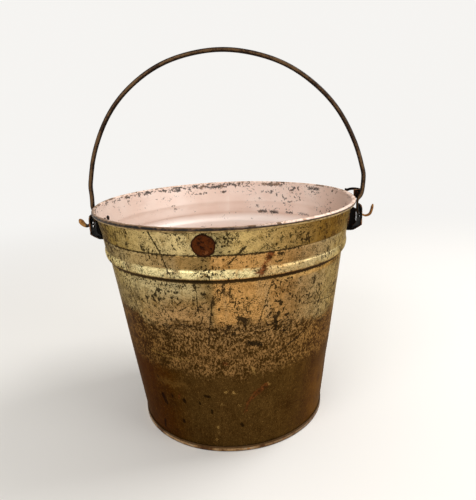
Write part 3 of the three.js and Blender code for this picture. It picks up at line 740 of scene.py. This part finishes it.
def make_bottom():
    """The pan's section turned about Z, its flat middle bulged by a slow wave across it."""
    outline = [(0.01, PAN_UNDER), (GROOVE_IN - SHEET, PAN_UNDER), (GROOVE_IN - SHEET, HEM_CORNER),
               (GROOVE_IN - SHEET + HEM_CORNER, 0), (HEM_RADIUS - HEM_CORNER, 0), (HEM_RADIUS, HEM_CORNER),
               (HEM_RADIUS, HEM_HEIGHT - HEM_CORNER), (HEM_RADIUS - 0.2, HEM_HEIGHT),
               (GROOVE_OUT + 0.6, HEM_HEIGHT), (GROOVE_OUT, SHEET), (GROOVE_IN, SHEET),
               (GROOVE_IN, PAN_TOP), (0.01, PAN_TOP)]
    section = evenly(outline, 1.0)
    azimuth = np.radians(np.arange(0, 360, 1.5))
    radius, height = section[:, :1], section[:, 1:]
    middle = (height > PAN_UNDER - 0.1) * np.clip((94 - radius) / 30, 0, 1) ** 2
    lift = middle * (PAN_BULGE * np.sin(2 * azimuth + 0.6) * np.sin(radius / 24) - PAN_SAG)
    hem_wave = HEM_WAVE * np.sin(9 * azimuth) * (radius > GROOVE_OUT)
    painted = np.arange(len(section) - 1) >= len(section) - FLOOR_ROWS
    return piece("pail_bottom", turned(radius + hem_wave, azimuth, height + lift),
                 slots=painted.astype(int), closed_v=False, weld=True)


def hem_metal():
    """The bare fold: grey and tan iron with brass-coloured and orange spots, stained like the wall above."""
    s = Finish("hem_metal")
    place = s.place()
    x, _, height = s.parts(place)
    slow = s.noise(place, 45.0, 4.0, 0.6)
    fine = s.noise(place, 380.0, 4.0, 0.7)
    stained = (height + (slow - 0.5) * 0.003).rise(0.0033, 0.0038)
    colour = s.coats(
        s.colours(slow, [(0.25, (52, 24, 4)), (0.40, (92, 60, 30)), (0.5, (170, 134, 92)),
                         (0.58, (178, 154, 122)), (0.66, (172, 114, 58)), (0.78, (84, 50, 22))]),
        (fine.rise(0.5, 0.7) * 0.5, (64, 44, 26)),
        (x.rise(0.005, 0.045) * 0.55, (70, 40, 16)),
        (stained * 0.9, s.blend(fine.rise(0.4, 0.6), (58, 36, 8), (74, 50, 20))),
        (height.rise(0.0014, 0.0004) * 0.8, (40, 26, 14)))
    return s.dress(colour, fine, 0.35, Metallic=0.5, Specular_IOR_Level=0.15, Roughness=0.4 + fine * 0.25)


def pink_floor():
    """The same pink paint on the pail's floor, scuffed to brown where things have stood."""
    s = Finish("pink_floor")
    place = s.place()
    cloud = s.noise(place, 24.0, 4.0, 0.6)
    worn = (cloud + s.noise(place, 300.0, 4.0, 0.7) * 0.3).rise(0.70, 0.78)
    scuffs = s.effect(HAIRLINES, place, 110.0, 0.2)
    chips = s.effect(FLECKS, place, 300.0, 0.3)
    colour = s.coats(
        s.blend(cloud.rise(0.3, 0.7), PINK_SHADE, PINK),
        (worn * 0.7, (132, 92, 66)),
        (most(scuffs, chips) * 0.8, (62, 46, 36)))
    return s.dress(colour, cloud - chips, 0.3, Roughness=0.5)


bottom = make_bottom()
for finish in (hem_metal(), pink_floor()):
    bottom.data.materials.append(finish)
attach(bottom, "pail")
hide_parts("bottom_pan")


# Ears, their rivets and the strap on the rim: black iron, cut and bent from bar by hand.
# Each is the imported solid, its edges rounded and its faces left uneven by the hammer.
EAR_TUCK, TUCK_TOP, TUCK_RUN = 4.5, 200.5, 6.5
STRAP_TURN, STRAP_TOP = 4.4, 235.3

# For each piece the grain that it is remeshed in, and the height of its hammer marks
IRON_PIECES = {
    "right_ear": (0.4, 0.09), "left_ear": (0.4, 0.09), "rim_strap": (0.35, 0.06),
    "right_ear_rivet_front": (0.22, 0.04), "right_ear_rivet_back": (0.22, 0.04),
    "left_ear_rivet_front": (0.22, 0.04), "left_ear_rivet_back": (0.22, 0.04),
}


def read_points(mesh, key="co"):
    """The places or the normals of a mesh's points, a row for each."""
    rows = np.empty(3 * len(mesh.vertices), np.float32)
    mesh.vertices.foreach_get(key, rows)
    return rows.reshape(-1, 3)


def move_points(mesh, place):
    mesh.vertices.foreach_set("co", place.astype(np.float32).reshape(-1))
    mesh.update()


def forged(name, node, grain, uneven):
    """A closed copy of a CAD solid with rounded edges: remeshed evenly, eased and roughened.

    Each point moves along its normal by a sum of three sine waves of its place. The attribute worn
    is how far a point stands out from the middle of its neighbours, from 0 on a flat to 1 on an edge.
    """
    made = bpy.data.objects.new(name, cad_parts[node].data.copy())
    bpy.context.scene.collection.objects.link(made)
    close_poles(made)
    made.data.materials.clear()
    remesh = made.modifiers.new("even", "REMESH")
    remesh.mode, remesh.voxel_size = "VOXEL", grain * MM
    ease = made.modifiers.new("ease", "SMOOTH")
    ease.factor, ease.iterations = 0.5, 3
    solid = made.evaluated_get(bpy.context.evaluated_depsgraph_get())
    mesh = bpy.data.meshes.new_from_object(solid)
    made.modifiers.clear()
    made.data = mesh
    count = len(mesh.vertices)
    place, normal = read_points(mesh), read_points(mesh, "normal")
    ends = np.empty(2 * len(mesh.edges), np.int32)
    mesh.edges.foreach_get("vertices", ends)
    first, second = ends.reshape(-1, 2).T
    total = np.zeros_like(place)
    np.add.at(total, first, place[second])
    np.add.at(total, second, place[first])
    degree = np.bincount(ends, minlength=count)[:, None]
    proud = ((place - total / degree) * normal).sum(1) / (grain * MM)
    for _ in range(3):
        shared = np.zeros(count)
        np.add.at(shared, first, proud[second])
        np.add.at(shared, second, proud[first])
        proud = 0.4 * proud + 0.6 * shared / degree[:, 0]
    worn = np.clip(proud / 0.10, 0, 1)
    x, y, z = (place / MM).T
    wave = np.sin(1.3 * x + 0.8 * y) * np.sin(0.9 * y - 1.1 * z) + 0.6 * np.sin(2.3 * z + 1.9 * x + 1.7 * y)
    mesh.attributes.new("worn", "FLOAT", "POINT").data.foreach_set("value", worn.astype(np.float32))
    mesh.polygons.foreach_set("use_smooth", np.ones(len(mesh.polygons), bool))
    move_points(mesh, place + normal * (uneven * MM * wave)[:, None])
    return made


def tucked(mesh):
    """Draws an ear's foot in towards the wall: its outer face moves most, its inner one not at all."""
    place = read_points(mesh)
    low = np.clip((TUCK_TOP - place[:, 2] / MM) / TUCK_RUN, 0, 1)
    out = np.clip((np.abs(place[:, 0]) / MM - 130) / 11, 0, 1)
    place[:, 0] -= np.sign(place[:, 0]) * EAR_TUCK * MM * out * low * (2 - low)
    move_points(mesh, place)


def narrowed(mesh):
    """Tapers the strap towards its far end, where it shows edge on, and draws that end in round the rim."""
    x, y, z = read_points(mesh).T / MM
    radius, azimuth = np.hypot(x, y), np.degrees(np.arctan2(y, x))
    far = np.clip((azimuth - STRAP_TURN) / 3, 0, 1)
    far = far * far * (3 - 2 * far)
    z = STRAP_TOP - (STRAP_TOP - z) * (1 - 0.7 * far) - 2.2 * np.clip((azimuth - 8) / 4, 0, 1) ** 2
    azimuth = np.where(azimuth > STRAP_TURN, STRAP_TURN + (azimuth - STRAP_TURN) * 0.72, azimuth)
    move_points(mesh, turned(radius, np.radians(azimuth), z))


def black_iron():
    """Black scale on iron, broken by rust, with tan and orange rust along the rubbed edges."""
    s = Finish("black_iron")
    place = s.place()
    worn = s.put("ShaderNodeAttribute", "Fac", {"attribute_name": "worn"})
    slow = s.noise(place, 130.0, 3.0, 0.6)
    fine = s.noise(place, 700.0, 4.0, 0.7)
    rusty = (slow + (fine - 0.5) * 0.6).rise(0.62, 0.72)
    rubbed = worn.rise(0.5, 1.0) * (slow + fine * 0.4).rise(0.66, 0.80)
    colour = s.coats(
        s.blend(fine.rise(0.4, 0.7), (8, 5, 3), (24, 15, 9)),
        (rusty * 0.8, (96, 50, 24)),
        (rubbed * 0.8, s.blend(fine.rise(0.45, 0.6), (128, 74, 36), (170, 134, 100))))
    return s.dress(colour, fine + rusty, 0.3, 0.0003, Metallic=0.0, Specular_IOR_Level=0.06,
                   Roughness=0.55 + rusty * 0.3)


iron = black_iron()
for node, (grain, uneven) in IRON_PIECES.items():
    made = forged(node + "_iron", node, grain, uneven)
    if node == "rim_strap":
        narrowed(made.data)
    if node in ("right_ear", "left_ear"):
        tucked(made.data)
    made.data.materials.append(iron)
    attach(made, "pail")
    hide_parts(node)


# Rim wire: plain iron wire that stiffens the mouth, drawn thin, bent round and closed in by the
# curl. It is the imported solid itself, with a material.
def wire_iron():
    """Drawn iron wire, brown with rust."""
    s = Finish("wire_iron")
    fine = s.noise(s.place(), 500.0, 4.0, 0.7)
    return s.dress(s.blend(fine.rise(0.35, 0.65), (52, 34, 22), (112, 70, 40)), Metallic=0.4, Roughness=0.6)


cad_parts["rim_wire"].data.materials.clear()
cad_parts["rim_wire"].data.materials.append(wire_iron())


# Patch: a round of iron, cut with snips, laid over a hole in the rim band and soldered there.
# It has rusted deep red-brown.
PATCH_RADIUS, PATCH_EDGE, PATCH_CROWN = 10.2, 1.0, 1.7
PATCH_HEIGHT, PATCH_AZIMUTH = 215.9, -95.3
BAND_TILT = np.arctan2(129.9 - CREASE_RADIUS, CURL_CENTRE[1] - CREASE_HEIGHT)
PATCH_RAISE = 0.3
PATCH_MIDDLE = (-0.0119, -0.1284, 0.2159)


def make_patch():
    """A low dome turned about its own axis, its radius and height a little uneven round it."""
    outline = evenly([(0.01, 0), (PATCH_RADIUS, 0), (PATCH_RADIUS, PATCH_EDGE * 0.7),
                      (PATCH_RADIUS - 0.4, PATCH_EDGE), (PATCH_RADIUS * 0.55, PATCH_EDGE * 1.5),
                      (0.01, PATCH_CROWN)], 0.5)
    outline = eased(outline, 2)
    azimuth = np.radians(np.arange(0, 360, 3.0))
    radius, height = outline[:, :1], outline[:, 1:]
    snips = 1 + np.sin(5 * azimuth + 1) + 0.5 * np.sin(13 * azimuth)
    ragged = 1 - 0.02 * snips * (radius / PATCH_RADIUS) ** 2
    pits = 0.12 * np.sin(radius * 1.3 + 2 * azimuth) * np.cos(3 * azimuth) * (height > 0.6)
    level = (PATCH_HEIGHT - CREASE_HEIGHT) * np.tan(BAND_TILT)
    stand = Matrix.Rotation(np.radians(PATCH_AZIMUTH), 4, "Z")
    stand @= Matrix.Translation(((CREASE_RADIUS + level + PATCH_RAISE) * MM, 0, PATCH_HEIGHT * MM))
    stand @= Matrix.Rotation(np.pi / 2 + float(BAND_TILT), 4, "Y")
    turn = np.array(stand)
    local = turned(radius * ragged, azimuth, height + pits)
    return piece("round_patch", local @ turn[:3, :3].T + turn[:3, 3], closed_v=False, weld=True)


def rust_patch():
    """Deep red-brown rust, dark and flaky, a little orange where it is fresh."""
    s = Finish("rust_patch")
    place = s.place()
    slow = s.noise(place, 170.0, 4.0, 0.65)
    mix = slow + (s.noise(place, 900.0, 4.0, 0.7) - 0.5) * 0.5
    flaky = s.colours(mix, [(0.36, (24, 6, 0)), (0.45, (56, 22, 2)), (0.53, (86, 40, 8)),
                            (0.61, (42, 15, 2)), (0.72, (124, 70, 34))])
    off_middle = s.vector("DISTANCE", place, PATCH_MIDDLE) + (slow - 0.5) * 0.006
    colour = s.blend(off_middle.rise(0.0078, 0.0098) * 0.85, flaky, (26, 10, 2))
    return s.dress(colour, mix, 0.7, 0.0005, Metallic=0.1, Specular_IOR_Level=0.05, Roughness=0.65)


patch = make_patch()
patch.data.materials.append(rust_patch())
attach(patch, "pail")
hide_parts("mending_disc")


# Bail: one round iron wire bent to an arch, its ends hammered flat, passed out through the ears
# and curled up. It leans back against the strap on the rim.
BAIL_WIRE, BAIL_LEAN, PIVOT_HEIGHT = 4.6, 3, 209.5
ARCH_RADIUS, ARCH_OVAL, ARCH_FLATNESS, ARCH_SHIFT, ARCH_SKEW = 157.7, 11.3, 1.4, 2.2, 1.1
ARCH_END = 74
EAR_FACE, EAR_THICKNESS = 141.6, 1.4
BLADE_WIDTH, BLADE_THICKNESS, BLADE_TOP = 5.0, 2.0, 14.6
FLATTEN_FROM, FLATTEN_RUN, TIP_POINTS = 5, 6, 5
WOBBLE, WOBBLE_REACH = 0.12, 135
HOOK_LINE = EAR_FACE - EAR_THICKNESS - 0.6 - BLADE_THICKNESS / 2
HOOK_REACH, HOOK_TOP = 13.4, 20

# The right side is 1 and the left one -1
HOOK_RISE = {1: 10.6, -1: 6.4}
HOOK_SPREAD = {1: (0.54, 1.6, 0.2, 0.9), -1: (0.56, 1.4, 0.28, 0.8)}
LEG_BENDS = {1: [(HOOK_LINE + 0.7, BLADE_TOP + 1.4), (142.6, 21.8), (144.1, 30.5)],
             -1: [(HOOK_LINE + 0.7, BLADE_TOP + 2), (138.9, 29)]}


def smooth_path(spots, count):
    """A Catmull-Rom curve through points, each stretch a cubic that keeps its neighbours' slope."""
    spots = np.asarray(spots, float)
    ends = np.vstack([2 * spots[0] - spots[1], spots, 2 * spots[-1] - spots[-2]])
    lengths = np.linalg.norm(np.diff(spots, axis=0), axis=1)
    runs = []
    for k, length in enumerate(lengths):
        p0, p1, p2, p3 = ends[k:k + 4]
        t = np.arange(max(2, int(round(count * length / lengths.sum()))))[:, None]
        t = t / len(t)
        runs.append(0.5 * (2 * p1 + (p2 - p0) * t + (2 * p0 - 5 * p1 + 4 * p2 - p3) * t ** 2
                           + (3 * p1 - p0 - 3 * p2 + p3) * t ** 3))
    return np.vstack([*runs, spots[-1:]])


def bail_line():
    """Centreline in the bail's own plane, from the left tip over the arch to the right one."""
    def hook(side):
        out, drop, turn, lift = HOOK_SPREAD[side]
        tip = EAR_FACE + HOOK_REACH
        spots = [(tip, HOOK_RISE[side]), (tip - turn * HOOK_REACH, lift), (tip - out * HOOK_REACH, -drop),
                 (EAR_FACE + 2, -0.3), (EAR_FACE - EAR_THICKNESS / 2, 0), (HOOK_LINE + 0.9, 0.9),
                 (HOOK_LINE, 3.6), (HOOK_LINE, BLADE_TOP - 2.4), *LEG_BENDS[side]]
        return [(side * x, z) for x, z in spots]

    angle = np.radians(np.linspace(-ARCH_END, ARCH_END, 41))
    reach = (ARCH_RADIUS + ARCH_OVAL * np.cos(2 * angle) - ARCH_FLATNESS * np.cos(4 * angle)
             + ARCH_SHIFT * np.sin(angle) - ARCH_SKEW * np.sin(3 * angle))
    arch = np.stack([reach * np.sin(angle), reach * np.cos(angle)], 1)
    return smooth_path([*hook(-1), *arch, *hook(1)[::-1]], 900)


def make_bail():
    """A ring of points carried along the line: round in the arch, flat and wide in its ends."""
    line = bail_line()
    along = np.gradient(line, axis=0)
    along /= np.linalg.norm(along, axis=1)[:, None]
    across = np.stack([-along[:, 1], along[:, 0]], 1)
    height, reach = line[:, 1], np.abs(line[:, 0])
    flat = np.clip((BLADE_TOP + FLATTEN_FROM - height) / FLATTEN_RUN, 0, 1)
    flat = flat * flat * (3 - 2 * flat)
    from_end = np.minimum(np.arange(len(line)), np.arange(len(line))[::-1])
    tip = np.sqrt(np.clip(from_end / TIP_POINTS, 0, 1))
    low, left = height < HOOK_TOP, line[:, 0] < 0
    curled = np.clip((reach - EAR_FACE - 2) / 8, 0, 1) * low
    wide = BAIL_WIRE / 2 * (1 - flat) + BLADE_WIDTH / 2 * flat
    thick = BAIL_WIRE / 2 * (1 - flat) + BLADE_THICKNESS / 2 * flat
    left_tip = curled * left * np.clip((reach - EAR_FACE - 5) / 6, 0, 1)
    left_neck = left * np.clip((reach - EAR_FACE) / 1.5, 0, 1) * low
    thick = thick + 0.9 * left_tip + 0.7 * left_neck + 0.2 * curled * ~left
    wobble = WOBBLE * np.sin(np.arange(len(line)) / 17) * (reach < WOBBLE_REACH)
    ring = np.radians(np.arange(0, 360, 15))
    square = (1 - 0.28 * flat)[:, None]
    side = np.sign(np.cos(ring)) * np.abs(np.cos(ring)) ** square * (wide * tip)[:, None]
    face = np.sign(np.sin(ring)) * np.abs(np.sin(ring)) ** square * (thick * tip)[:, None]
    x = line[:, :1] + across[:, :1] * (face + wobble[:, None])
    z = line[:, 1:] + across[:, 1:] * (face + wobble[:, None])
    lean = np.radians(BAIL_LEAN)
    points = np.stack([x, z * np.sin(lean) + side * np.cos(lean),
                       PIVOT_HEIGHT + z * np.cos(lean) - side * np.sin(lean)], -1) * MM
    round_share = np.linspace(0, 1, len(ring) + 1)
    uv = np.stack(np.broadcast_arrays(round_share, np.linspace(0, 1, len(line))[:, None]), -1)
    return piece("bail_wire", points, uv=uv, closed_v=False, weld=True)


def bail_rust():
    """Brown-black rust, lighter on the wire's front and back faces and darker on its sides as painted
    shading, near black as painted shade where the flattened ends pass the ears, turning orange and tan in the
    flattened ends.
    """
    s = Finish("bail_rust")
    place = s.place()
    x, _, z = s.parts(place)
    mix = s.noise(place, 60.0, 4.0, 0.6) + (s.noise(place, 520.0, 4.0, 0.7) - 0.5) * 0.6
    turn = s.parts(s.sheet())[0] * (2 * np.pi)
    # Painted shading: lighter where the wire faces front or back, darker on its sides
    sheen_ridge = abs(turn.math("COSINE", turn)) + (mix - 0.5) * 0.9
    below = z.rise(0.228, 0.222)
    hooks = most(x.rise(0.1405, 0.1425), x.rise(-0.1472, -0.1492)) * below
    colour = s.coats(
        s.colours(sheen_ridge, [(0.45, (14, 6, 1)), (0.80, (34, 20, 9)), (0.94, (62, 42, 24)),
                          (1.0, (92, 68, 42))]),
        # Painted shade: near black where the flattened ends pass the ears
        (abs(x).rise(0.1375, 0.1395) * below * 0.8, (14, 9, 5)),
        (hooks, s.blend(mix.rise(0.4, 0.6), (116, 72, 30), (164, 118, 62))))
    return s.dress(colour, mix, 0.5, Metallic=0.3, Specular_IOR_Level=0.15, Roughness=0.42)


bail = make_bail()
bail.data.materials.append(bail_rust())
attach(bail, "bail_handle")
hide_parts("bail")


# Studio: a pale flat floor that fades far off into an even backdrop tone, three soft lamps and the camera.
# None of it is part of the pail.
FLOOR_HALF_WIDTH, FLOOR_DROP = 6, 0.0002
FLOOR_TONE = (238, 235, 230)
SKY_TONE, SKY_SEEN, SKY_LIGHT = (1.0, 0.985, 0.96, 1.0), 0.92, 0.55
CAMERA_PLACE = (0.025388, -0.484428, 0.312472)
CAMERA_RIGHT = (0.99898617, 0.01534794, -0.04232108)
CAMERA_UP = (0.03652167, 0.27334689, 0.96122196)
CAMERA_FORWARD = (-0.02632112, 0.96179308, -0.27250923)
FOCAL_PIXELS, FRAME_PIXELS = 468.0, 476.0
SENSOR = 36.0


def make_floor():
    """A flat sheet, twelve metres square, just under the pail."""
    edge = np.linspace(-FLOOR_HALF_WIDTH, FLOOR_HALF_WIDTH, 25)
    x, y = np.meshgrid(edge, edge)
    points = np.stack([x, y, np.full_like(x, -FLOOR_DROP)], -1)
    return piece("studio_floor", points, closed_u=False, closed_v=False)


def pale_floor():
    """Matt and pale near the pail, and the backdrop's own even tone further off."""
    s = Finish("pale_floor")
    s.dress(FLOOR_TONE, Roughness=0.8, Specular_IOR_Level=0.1)
    far = s.vector("LENGTH", s.place()).rise(0.22, 1.3)
    backdrop = s.put("ShaderNodeEmission", "Emission", Strength=SKY_SEEN)
    backdrop.socket.node.inputs["Color"].default_value = SKY_TONE
    mix = s.put("ShaderNodeMixShader", "Shader")
    near = Value(s.tree.nodes["Principled BSDF"].outputs["BSDF"])
    feed(mix.socket.node.inputs, [far, near, backdrop])
    fill(s.tree.nodes["Material Output"], Surface=mix)
    return s.material


def soft_lamp(name, place, target, size, watts):
    """A square lamp that faces a point."""
    lamp = bpy.data.lights.new(name, "AREA")
    lamp.shape, lamp.size, lamp.energy = "SQUARE", size, watts
    made = bpy.data.objects.new(name, lamp)
    made.location = place
    made.rotation_euler = (Vector(target) - Vector(place)).to_track_quat("-Z", "Y").to_euler()
    bpy.context.scene.collection.objects.link(made)


def pale_world():
    """Soft grey light all round, seen as near white by the camera and in reflections."""
    world = bpy.data.worlds.new("studio")
    world.use_nodes = True
    bpy.context.scene.world = world
    sky = world.node_tree.nodes["Background"]
    sky.inputs["Color"].default_value = SKY_TONE
    path = world.node_tree.nodes.new("ShaderNodeLightPath").outputs
    seen = most(*(Value(path[key]) for key in ("Is Camera Ray", "Is Glossy Ray", "Is Transmission Ray")))
    fill(sky, Strength=SKY_LIGHT + seen * (SKY_SEEN - SKY_LIGHT))


floor = make_floor()
floor.data.materials.append(pale_floor())
pale_world()
soft_lamp("key", (1.1, 0.35, 1.5), (0, 0, 0.15), 0.9, 19.0)
soft_lamp("front", (-0.9, -1.5, 1.3), (0, 0, 0.12), 1.2, 15.0)
soft_lamp("side", (1.5, -0.9, 0.7), (0, 0, 0.15), 0.8, 8.0)

lens = bpy.data.cameras.new("photo_view")
lens.sensor_fit, lens.sensor_width = "HORIZONTAL", SENSOR
lens.lens = SENSOR * FOCAL_PIXELS / FRAME_PIXELS
lens.clip_start, lens.clip_end = 0.01, 20.0
camera = bpy.data.objects.new("photo_view", lens)
turn = Matrix([CAMERA_RIGHT, CAMERA_UP, [-c for c in CAMERA_FORWARD]]).transposed()
camera.matrix_world = Matrix.Translation(CAMERA_PLACE) @ turn.to_4x4()
bpy.context.scene.collection.objects.link(camera)
bpy.context.scene.camera = camera
bpy.context.scene.view_settings.view_transform = "Standard"
